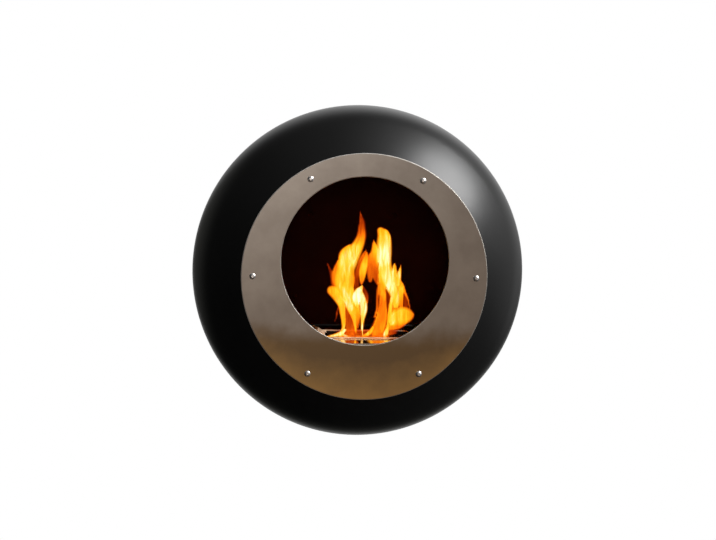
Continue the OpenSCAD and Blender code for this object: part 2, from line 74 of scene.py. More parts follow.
# Steps along each arc of the section, and round the shell's axis
ARC_STEPS = 40
LATHE_STEPS = 256
# Faces are shaded as one where they meet below this angle, in degrees
SMOOTH_BELOW = 35
ALL_SMOOTH = 180

# Bezel, with its lengths in metres
BEZEL_T = 0.003
BEZEL_R = 0.216
APERTURE_R = 0.147
APERTURE_UP = 0.028
BEZEL_ROUND = 0.0013
SCREW_COUNT = 6
SCREW_CIRCLE_R = 0.196
SCREW_HOLE_R = 0.0033
# Steps of a quarter circle and of the rounded edge, the distance within which points are
# joined, and how squarely a face looks ahead or back to be shaded flat
CIRCLE_STEPS = 64
ROUND_STEPS = 3
WELD_DISTANCE = 0.00001
FLAT_FACING = 0.999

# Burner's mouth, and the distance from it over which its pale rim, partly a painted highlight, ends,
# in metres
MOUTH_X = (-0.0696, 0.0964)
MOUTH_Y = (-0.209, -0.105)
RIM_REACH = (0.002, 0.003)

# Stretch of a brushed grain along X, its share in steel's tone, and bumps' depths in metres
BRUSHED = (12, 900, 900)
BEZEL_BRUSHED = (14, 1000, 1000)
GRAIN_SHARE = 0.18
GRAIN_DEPTH = 0.00002
PEEL_DEPTH = 0.00004
RUBBER_DEPTH = 0.0001
WOOL_DEPTH = 0.001

# Heights from plain to near-black steel on the burner, and how far patches shift them, in metres
DARKENING_HEIGHTS = (-0.136, -0.112)
DARKENING_WANDER = 0.03

# Heights from the painted brown reflection to grey steel on the bezel, in metres. They tilt from left
# to right, and the mottle shifts them
TINT_HEIGHTS = (-0.098, -0.045)
TINT_TILT = 0.02
TINT_WANDER = 0.06
# The painted brown reflection turns lighter away from the window and downwards, over this range
PALING = (0.315, 0.405)
PALING_DOWN = -0.5
PALING_WANDER = 0.12
# The ring's outer edge carries a painted highlight, dim at the right and pale at the left, over these
# X
DULL_TO_PALE = (0.15, -0.15)
EDGE_ROUGHNESS = 0.62

# Flame's streaks, its emission, and its colours from the coolest part to the hottest
STREAK_STRETCH = (150, 60, 26)
STREAK_CONTRAST = 0.90
STREAK_LIFT = 0.264
FLAME_STRENGTH = 1.6
FLAME_COLOURS = [
    (0.00, (0.02, 0.0, 0.0)),
    (0.09, (0.20, 0.010, 0.0)),
    (0.19, (0.50, 0.040, 0.001)),
    (0.31, (0.90, 0.16, 0.003)),
    (0.44, (1.0, 0.30, 0.004)),
    (0.56, (1.0, 0.46, 0.010)),
    (0.64, (1.0, 0.58, 0.030)),
    (0.72, (1.0, 0.74, 0.15)),
    (0.83, (1.0, 0.92, 0.50)),
    (1.00, (1.0, 1.0, 0.85)),
]
# Transparent bounces, enough for a ray that crosses many of the flame's skins
FLAME_BOUNCES = 160

# Floor: its height and radius, and the distances over which it turns to white, in metres
FLOOR_Z = -0.80
FLOOR_R = 2.5
FLOOR_SIDES = 96
FLOOR_FADE = (0.45, 1.0)

# Lamps: direction from the object, distance and diameter in metres, power, colour
KEY_WAY = (0.700, -0.312, 0.643)
LAMPS = {
    "key": (KEY_WAY, 2.0, 1.2, 42, (1, 1, 1)),
    "front": ((-0.045, -0.990, 0.135), 12.0, 2.5, 106, (1.0, 0.956, 0.912)),
}

# Grey light all round, for surfaces that don't mirror
ROOM_LIGHT = 0.38
# The room that gloss reflects: grey, from opposite the key lamp at 0 to its side at 1
ROOM_GREYS = [
    (0.07, 0.008),
    (0.17, 0.020),
    (0.40, 0.045),
    (0.50, 0.07),
    (0.63, 0.11),
    (0.73, 0.17),
    (0.82, 0.20),
    (0.91, 0.48),
    (0.96, 0.9),
]
# Spots in that room: direction, degrees within which a spot is full, beyond which it is
# gone, and colour. The first is a warm glow in front of the object and below it. The
# others stand behind it and at its sides
ROOM_SPOTS = [
    ((0.1, -1, -0.5), 10, 40, (0.15, 0.07, 0.01)),
    ((0.1, 0.87, 0.48), 8, 42, (0.78, 0.78, 0.78)),
    ((0.08, 0.96, -0.27), 8, 34, (0.62, 0.62, 0.62)),
    ((0.5, 0.75, 0.42), 8, 36, (0.40, 0.40, 0.40)),
    ((0.92, 0.38, 0.03), 8, 32, (0.35, 0.35, 0.35)),
    ((-0.7, 0.7, 0.1), 8, 38, (0.12, 0.12, 0.11)),
    ((0.1, 0.8, -0.6), 10, 40, (0.06, 0.06, 0.05)),
]


def node(tree, kind, inputs=None, **settings):
    """A shader node with its settings, and with its inputs set to values or linked to sockets."""
    made = tree.nodes.new(kind)
    for key, value in settings.items():
        setattr(made, key, value)
    for key, value in (inputs or {}).items():
        if isinstance(value, bpy.types.NodeSocket):
            tree.links.new(value, made.inputs[key])
        else:
            made.inputs[key].default_value = value
    return made


def ramp(tree, factor, stops):
    """A colour ramp with stops of (place, colour), where a grey may be one number."""
    made = node(tree, "ShaderNodeValToRGB", {"Fac": factor})
    elements = made.color_ramp.elements
    while len(elements) < len(stops):
        elements.new(1.0)
    for element, (place, colour) in zip(elements, stops):
        element.position = place
        rgb = (colour,) * 3 if isinstance(colour, (int, float)) else colour
        element.color = (*rgb, 1.0)
    return made.outputs["Color"]


def vary(tree, factor, low, high):
    """A change from one tone to another over the middle of a noise."""
    return ramp(tree, factor, [(0.3, low), (0.7, high)])


def maths(tree, operation, *values):
    """The result of a calculation with up to three numbers or sockets."""
    made = node(tree, "ShaderNodeMath", dict(enumerate(values)), operation=operation)
    return made.outputs["Value"]


def rise(tree, value, low, high, smooth=False):
    """0 where the value is at low, 1 where it is at high, and straight or smooth between."""
    made = node(
        tree,
        "ShaderNodeMapRange",
        {"Value": value, "From Min": low, "From Max": high},
        interpolation_type="SMOOTHSTEP" if smooth else "LINEAR",
    )
    return made.outputs["Result"]


def mix(tree, factor, a, b, kind="RGBA", blend="MIX"):
    """Two colours, or numbers where the kind is FLOAT, mixed."""
    made = node(
        tree,
        "ShaderNodeMix",
        {"Factor": factor, "A": a, "B": b},
        data_type=kind,
        blend_type=blend,
    )
    return made.outputs["Result"]


def grey(tone):
    """A grey for a colour socket."""
    return (tone, tone, tone, 1)


def coordinate_parts(tree):
    """X, Y and Z of the place on the object."""
    place = node(tree, "ShaderNodeTexCoord").outputs["Object"]
    return node(tree, "ShaderNodeSeparateXYZ", {"Vector": place}).outputs


def object_coordinates(tree, scale=(1, 1, 1)):
    place = node(tree, "ShaderNodeTexCoord").outputs["Object"]
    return node(tree, "ShaderNodeMapping", {"Vector": place, "Scale": scale}).outputs["Vector"]


def noise(tree, vector, scale, detail=2.0, roughness=0.5, distortion=0.0):
    made = node(
        tree,
        "ShaderNodeTexNoise",
        {
            "Vector": vector,
            "Scale": scale,
            "Detail": detail,
            "Roughness": roughness,
            "Distortion": distortion,
        },
    )
    return made.outputs["Fac"]


def brushed_grain(tree, stretch=BRUSHED):
    return noise(tree, object_coordinates(tree, stretch), 1.0, detail=3, roughness=0.6)


def bump(tree, height, distance, strength=1.0):
    made = node(
        tree, "ShaderNodeBump", {"Height": height, "Distance": distance, "Strength": strength}
    )
    return made.outputs["Normal"]


def new_material(name):
    """A material with an empty node tree, and that tree."""
    material = bpy.data.materials.new(name)
    material.use_nodes = True
    material.node_tree.nodes.clear()
    return material, material.node_tree


def output(material, surface):
    node(material.node_tree, "ShaderNodeOutputMaterial", {"Surface": surface})
    return material


def principled(material, inputs):
    shader = node(material.node_tree, "ShaderNodeBsdfPrincipled", inputs)
    return output(material, shader.outputs["BSDF"])


def metal(material, colour, roughness, normal):
    return principled(
        material,
        {"Base Color": colour, "Metallic": 1.0, "Roughness": roughness, "Normal": normal},
    )


def powder_coat(name, dark, light, low_rough, high_rough, grain=1100, specular=0.5):
    """Sprayed powder coat: fine orange peel, and cloudy changes of gloss."""
    material, tree = new_material(name)
    place = object_coordinates(tree)
    clouds = noise(tree, place, 9, detail=4)
    peel = noise(tree, place, grain, detail=1)
    return principled(
        material,
        {
            "Base Color": vary(tree, clouds, dark, light),
            "Roughness": vary(tree, clouds, low_rough, high_rough),
            "Specular IOR Level": specular,
            "Normal": bump(tree, peel, PEEL_DEPTH),
        },
    )


def brushed_steel(name, dark, light, low_rough, high_rough):
    """Steel with a straight brushed grain, mottled a little."""
    material, tree = new_material(name)
    grain = brushed_grain(tree)
    mottle = noise(tree, object_coordinates(tree), 22, detail=4, roughness=0.6)
    tone = mix(tree, GRAIN_SHARE, mottle, grain, kind="FLOAT")
    return metal(
        material,
        vary(tree, tone, dark, light),
        vary(tree, tone, low_rough, high_rough),
        bump(tree, grain, GRAIN_DEPTH),
    )


def dark_topped_steel(name):
    """Burner steel: plain in the tank's lower part and near black towards its mouth."""
    material, tree = new_material(name)
    height = coordinate_parts(tree)["Z"]
    grain = brushed_grain(tree)
    patches = noise(tree, object_coordinates(tree), 60, detail=4, roughness=0.6)
    wander = maths(tree, "MULTIPLY_ADD", patches, DARKENING_WANDER, height)
    darkening = rise(tree, wander, *DARKENING_HEIGHTS, smooth=True)
    steel = vary(tree, grain, (0.42, 0.41, 0.40), (0.52, 0.51, 0.50))
    black = vary(tree, patches, (0.020, 0.014, 0.011), (0.045, 0.032, 0.025))
    return metal(
        material,
        mix(tree, darkening, steel, black),
        vary(tree, patches, 0.30, 0.42),
        bump(tree, grain, GRAIN_DEPTH),
    )


def straw_and_fire_lit_steel(name):
    """Steel at the burner's mouth: a satin rim, pale and warm as heat tint with a painted highlight
    of the fire's light, and brown and glossier outside it.
    """
    material, tree = new_material(name)
    parts = coordinate_parts(tree)
    grain = brushed_grain(tree)

    def outside(value, low, high):
        off = maths(tree, "ADD", value, -(low + high) / 2)
        return maths(tree, "SUBTRACT", maths(tree, "ABSOLUTE", off), (high - low) / 2)

    reach = maths(tree, "MAXIMUM", outside(parts["X"], *MOUTH_X), outside(parts["Y"], *MOUTH_Y))
    far = rise(tree, reach, *RIM_REACH)
    # Painted highlight: the rim's pale warm colour is a heat tint that also stands for the fire's
    # light on it
    pale_painted_highlight = vary(tree, grain, (0.95, 0.70, 0.50), (0.98, 0.77, 0.58))
    brown_tone = vary(tree, grain, (0.60, 0.32, 0.15), (0.72, 0.40, 0.20))
    return metal(
        material,
        mix(tree, far, pale_painted_highlight, brown_tone),
        ramp(tree, far, [(0.0, 0.40), (1.0, 0.15)]),
        bump(tree, grain, GRAIN_DEPTH),
    )


def steel_with_painted_light(name):
    """The bezel: brushed steel, grey above, with a painted brown reflection in its lower part,
    darkest near the window. Its matt edges carry a painted highlight, palest at the outer left."""
    material, tree = new_material(name)
    parts = coordinate_parts(tree)
    mottle = noise(tree, object_coordinates(tree), 14, detail=4, roughness=0.6)
    grain = brushed_grain(tree, BEZEL_BRUSHED)

    def from_axis(up):
        flat = node(tree, "ShaderNodeCombineXYZ", {"X": parts["X"], "Z": parts["Z"]})
        return node(
            tree,
            "ShaderNodeVectorMath",
            {0: flat.outputs["Vector"], 1: (0, 0, up)},
            operation="DISTANCE",
        ).outputs["Value"]

    # Painted reflection: the face turns brown towards the bottom, darkest near the window
    tilted = maths(tree, "MULTIPLY_ADD", parts["X"], TINT_TILT, parts["Z"])
    wander = maths(tree, "MULTIPLY_ADD", mottle, TINT_WANDER, tilted)
    tint = rise(tree, wander, *TINT_HEIGHTS, smooth=True)
    steel = ramp(tree, mottle, [(0.35, (0.320, 0.284, 0.252)), (0.65, (0.392, 0.352, 0.314))])

    from_window = from_axis(APERTURE_UP)
    blotched = maths(tree, "MULTIPLY_ADD", mottle, PALING_WANDER, from_window)
    fading = maths(tree, "MULTIPLY_ADD", parts["Z"], PALING_DOWN, blotched)
    faded = rise(tree, fading, *PALING)
    brown_tone = ramp(tree, faded, [(0.0, (0.232, 0.162, 0.091)), (1.0, (0.500, 0.327, 0.138))])
    face = mix(tree, tint, brown_tone, steel)

    # Painted highlight: the rounded edges are lighter than the face, the outer one palest at the left
    outer = rise(tree, from_axis(0.0), BEZEL_R - BEZEL_ROUND, BEZEL_R - BEZEL_ROUND / 2)
    inner = rise(tree, from_window, APERTURE_R + BEZEL_ROUND, APERTURE_R + BEZEL_ROUND / 2)
    edge = maths(tree, "MAXIMUM", outer, inner)
    highlight_at_left = maths(tree, "MULTIPLY", rise(tree, parts["X"], *DULL_TO_PALE), outer)
    dim_painted_highlight = vary(tree, grain, (0.48, 0.45, 0.41), (0.54, 0.51, 0.47))
    pale_painted_highlight = vary(tree, grain, (0.93, 0.89, 0.84), (0.98, 0.95, 0.91))
    painted_edge_highlight = mix(tree, highlight_at_left, dim_painted_highlight, pale_painted_highlight)
    brushed = vary(tree, grain, 0.275, 0.295)
    return metal(
        material,
        mix(tree, edge, face, painted_edge_highlight),
        mix(tree, edge, brushed, grey(EDGE_ROUGHNESS)),
        bump(tree, grain, GRAIN_DEPTH, strength=0.4),
    )


def rubber(name):
    material, tree = new_material(name)
    grain = noise(tree, object_coordinates(tree), 700)
    return principled(
        material,
        {
            "Base Color": vary(tree, grain, 0.012, 0.024),
            "Roughness": vary(tree, grain, 0.62, 0.8),
            "Normal": bump(tree, grain, RUBBER_DEPTH),
        },
    )


def wool(name):
    material, tree = new_material(name)
    fibres = noise(tree, object_coordinates(tree, (60, 260, 400)), 1.0, detail=6, roughness=0.7)
    return principled(
        material,
        {
            "Base Color": vary(tree, fibres, (0.62, 0.59, 0.53), (0.82, 0.80, 0.75)),
            "Roughness": 0.95,
            "Normal": bump(tree, fibres, WOOL_DEPTH),
        },
    )


def flame_material(name):
    """Glow that follows the flame's own heat and veil, with streaks along each tongue."""
    material, tree = new_material(name)
    heat = node(tree, "ShaderNodeAttribute", attribute_name="glow").outputs["Fac"]
    veil = node(tree, "ShaderNodeAttribute", attribute_name="veil").outputs["Fac"]
    flow = object_coordinates(tree, STREAK_STRETCH)
    streaks = noise(tree, flow, 1.0, detail=3, roughness=0.55, distortion=0.8)
    stir = maths(tree, "MULTIPLY_ADD", streaks, STREAK_CONTRAST, STREAK_LIFT)
    glow = ramp(tree, maths(tree, "MULTIPLY", stir, heat), FLAME_COLOURS)
    light = node(tree, "ShaderNodeEmission", {"Color": glow, "Strength": FLAME_STRENGTH})
    clear = node(tree, "ShaderNodeBsdfTransparent")
    mixed = node(
        tree,
        "ShaderNodeMixShader",
        {0: veil, 1: clear.outputs["BSDF"], 2: light.outputs["Emission"]},
    )
    return output(material, mixed.outputs["Shader"])


def new_object(name, vertices, faces, material, smooth_below=SMOOTH_BELOW):
    """A mesh object with one material, smooth where its faces meet below an angle in degrees."""
    mesh = bpy.data.meshes.new(name)
    mesh.from_pydata(vertices, [], faces)
    mesh.validate()
    made = bpy.data.objects.new(name, mesh)
    bpy.context.scene.collection.objects.link(made)
    mesh.materials.append(material)
    mesh.shade_smooth()
    mesh.set_sharp_from_angle(angle=math.radians(smooth_below))
    return made


def arc(centre, radius, start, end):
    """Points on an arc in (radius, distance) from one angle to another, in degrees."""
    angles = [math.radians(start + (end - start) * i / ARC_STEPS) for i in range(ARC_STEPS + 1)]
    return [(centre[0] + radius * math.cos(a), centre[1] + radius * math.sin(a)) for a in angles]


def crown(flat_r, depth):
    """Centre distance and radius of the crown arc that joins the shoulder and ends at a flange."""
    slope = depth / SHOULDER_R
    flange = flat_r**2 + depth**2
    reach = (flange + SHOULDER_R**2 - SHOULDER_C**2) / (2 * SHOULDER_R)
    square = slope**2 - 1
    linear = 2 * slope * (reach - SHOULDER_R)
    constant = (reach - SHOULDER_R) ** 2 - SHOULDER_C**2
    beyond = -2 * constant / (linear + math.sqrt(linear**2 - 4 * square * constant))
    return beyond, reach + slope * beyond


def half_profile(flat_r, hole_r, depth):
    """Closed section of one shell half, as (radius, distance from the widest circle)."""
    beyond, crown_r = crown(flat_r, depth)
    blend = math.degrees(math.atan(beyond / SHOULDER_C))
    seam = math.degrees(SHELL_EDGE / SHOULDER_R)

    def side(inset, flange_y):
        radius = crown_r - inset
        top = math.degrees(math.asin((flange_y + beyond) / radius))
        shoulder = arc((SHOULDER_C, 0), SHOULDER_R - inset, seam, blend)
        crown_arc = arc((0, -beyond), radius, blend, top)
        return shoulder + crown_arc[1:]

    outer = [(SHELL_R - SHELL_EDGE, 0.0)] + side(0, depth)
    flange = [(hole_r + SHELL_EDGE, depth), (hole_r, depth - SHELL_EDGE), (hole_r, depth - SHELL_T)]
    inner = side(SHELL_T, depth - SHELL_T)[::-1] + [(SHELL_R - SHELL_T, 0.0)]
    return outer + flange + inner


def lathe(name, profile, material):
    """Closed section turned round the shell's axis."""
    count = len(profile)
    vertices = []
    faces = []
    for i in range(LATHE_STEPS):
        turn = 2 * math.pi * i / LATHE_STEPS
        vertices += [(r * math.cos(turn), -y, r * math.sin(turn)) for r, y in profile]
        here = i * count
        there = (i + 1) % LATHE_STEPS * count
        for k in range(count):
            following = (k + 1) % count
            faces.append((here + k, here + following, there + following, there + k))
    return new_object(name, vertices, faces, material)


def shell_halves(material):
    """Both halves of the shell, turned from their sections, in the CAD nodes' places."""
    front = half_profile(FRONT_FLAT_R, FRONT_HOLE_R, FRONT_Y - EQUATOR_Y)
    rear = half_profile(REAR_FLAT_R, REAR_HOLE_R, EQUATOR_Y - WALL_GAP)
    profiles = {
        "front_shell": [(r, EQUATOR_Y + y) for r, y in front],
        "rear_shell": [(r, EQUATOR_Y - y) for r, y in reversed(rear)],
    }
    for name, profile in profiles.items():
        piece = lathe(f"{name}_skin", profile, material)
        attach(piece, "housing")
        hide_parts(name)


def circle_spline(curve, centre, radius):
    """One round Bezier spline in a flat curve."""
    spline = curve.splines.new("BEZIER")
    spline.bezier_points.add(3)
    spline.use_cyclic_u = True
    handle = radius * 4 / 3 * math.tan(math.pi / 8)
    for i, point in enumerate(spline.bezier_points):
        out = Vector((math.cos(i * math.pi / 2), math.sin(i * math.pi / 2), 0))
        turn = Vector((-out.y, out.x, 0))
        point.co = Vector((*centre, 0)) + out * radius
        point.handle_left = point.co - turn * handle
        point.handle_right = point.co + turn * handle


def weld(piece):
    """Joins the points that lie on one another, and turns all faces outwards."""
    made = bmesh.new()
    made.from_mesh(piece.data)
    bmesh.ops.remove_doubles(made, verts=made.verts, dist=WELD_DISTANCE)
    bmesh.ops.recalc_face_normals(made, faces=made.faces)
    made.to_mesh(piece.data)
    made.free()
    piece.data.shade_smooth()


def bezel(material):
    """Ring plate with softly rounded edges, an off-centre window and its screw holes."""
    curve = bpy.data.curves.new("bezel_curve", "CURVE")
    curve.dimensions = "2D"
    curve.fill_mode = "BOTH"
    curve.resolution_u = CIRCLE_STEPS
    curve.extrude = BEZEL_T / 2 - BEZEL_ROUND
    curve.bevel_depth = BEZEL_ROUND
    curve.bevel_resolution = ROUND_STEPS
    curve.offset = -BEZEL_ROUND
    circle_spline(curve, (0, 0), BEZEL_R)
    circle_spline(curve, (0, APERTURE_UP), APERTURE_R)
    for i in range(SCREW_COUNT):
        turn = 2 * math.pi * i / SCREW_COUNT
        centre = (SCREW_CIRCLE_R * math.cos(turn), SCREW_CIRCLE_R * math.sin(turn))
        circle_spline(curve, centre, SCREW_HOLE_R)
    drawn = bpy.data.objects.new("bezel_curve", curve)
    bpy.context.scene.collection.objects.link(drawn)
    bpy.context.view_layer.update()
    evaluated = drawn.evaluated_get(bpy.context.evaluated_depsgraph_get())
    mesh = bpy.data.meshes.new_from_object(evaluated)
    bpy.data.objects.remove(drawn)
    middle = FRONT_Y + BEZEL_T / 2
    vertices = [(v.co.x, -middle - v.co.z, v.co.y) for v in mesh.vertices]
    faces = [tuple(p.vertices) for p in mesh.polygons]
    piece = new_object("bezel_ring", vertices, faces, material)
    weld(piece)
    for face in piece.data.polygons:
        face.use_smooth = abs(face.normal.y) < FLAT_FACING
    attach(piece, "housing")
    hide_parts("bezel")


